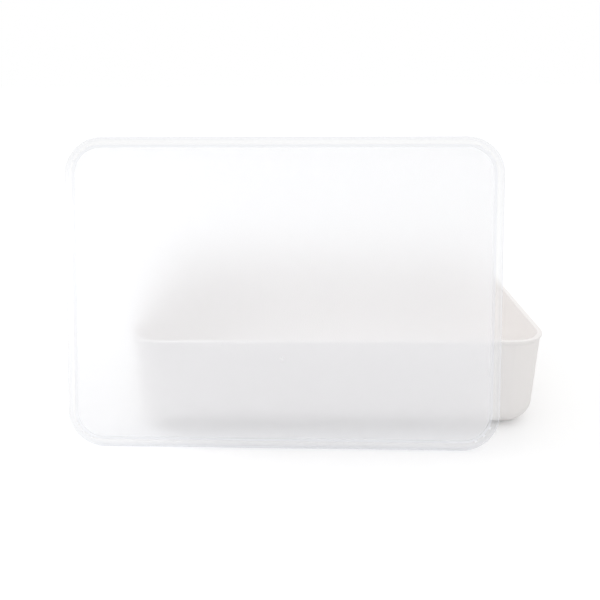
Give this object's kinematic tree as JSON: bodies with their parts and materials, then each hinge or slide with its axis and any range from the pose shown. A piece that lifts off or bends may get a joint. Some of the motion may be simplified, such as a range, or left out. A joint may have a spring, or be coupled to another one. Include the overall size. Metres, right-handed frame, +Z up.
{
  "type": "milk storage freezer box",
  "caption": "Shallow rectangular freezer tray with round corners and a thin lip, and a frosted press-on lid taken off and leaning against its front.",
  "frame": {"origin": "centre of the tray's flat foot, on the surface it stands on", "axes": "+Z up, +X to the right along the long side, +Y from the front, where the lid leans, to the back"},
  "size_m": [0.3256, 0.2308, 0.199],
  "materials": {
    "tray_plastic": "opaque warm off-white, fine satin",
    "lid_plastic": "frosted translucent, nearly clear"
  },
  "bodies": {
    "tray_body": {"tray": "tray_plastic"},
    "lid_body": {"lid": "lid_plastic"}
  },
  "joints": [
    {"name": "lid_lift", "type": "slide", "parent": "tray_body", "child": "lid_body", "axis": [0, 0, 1], "range_m": [0, 0.15]}
  ]
}
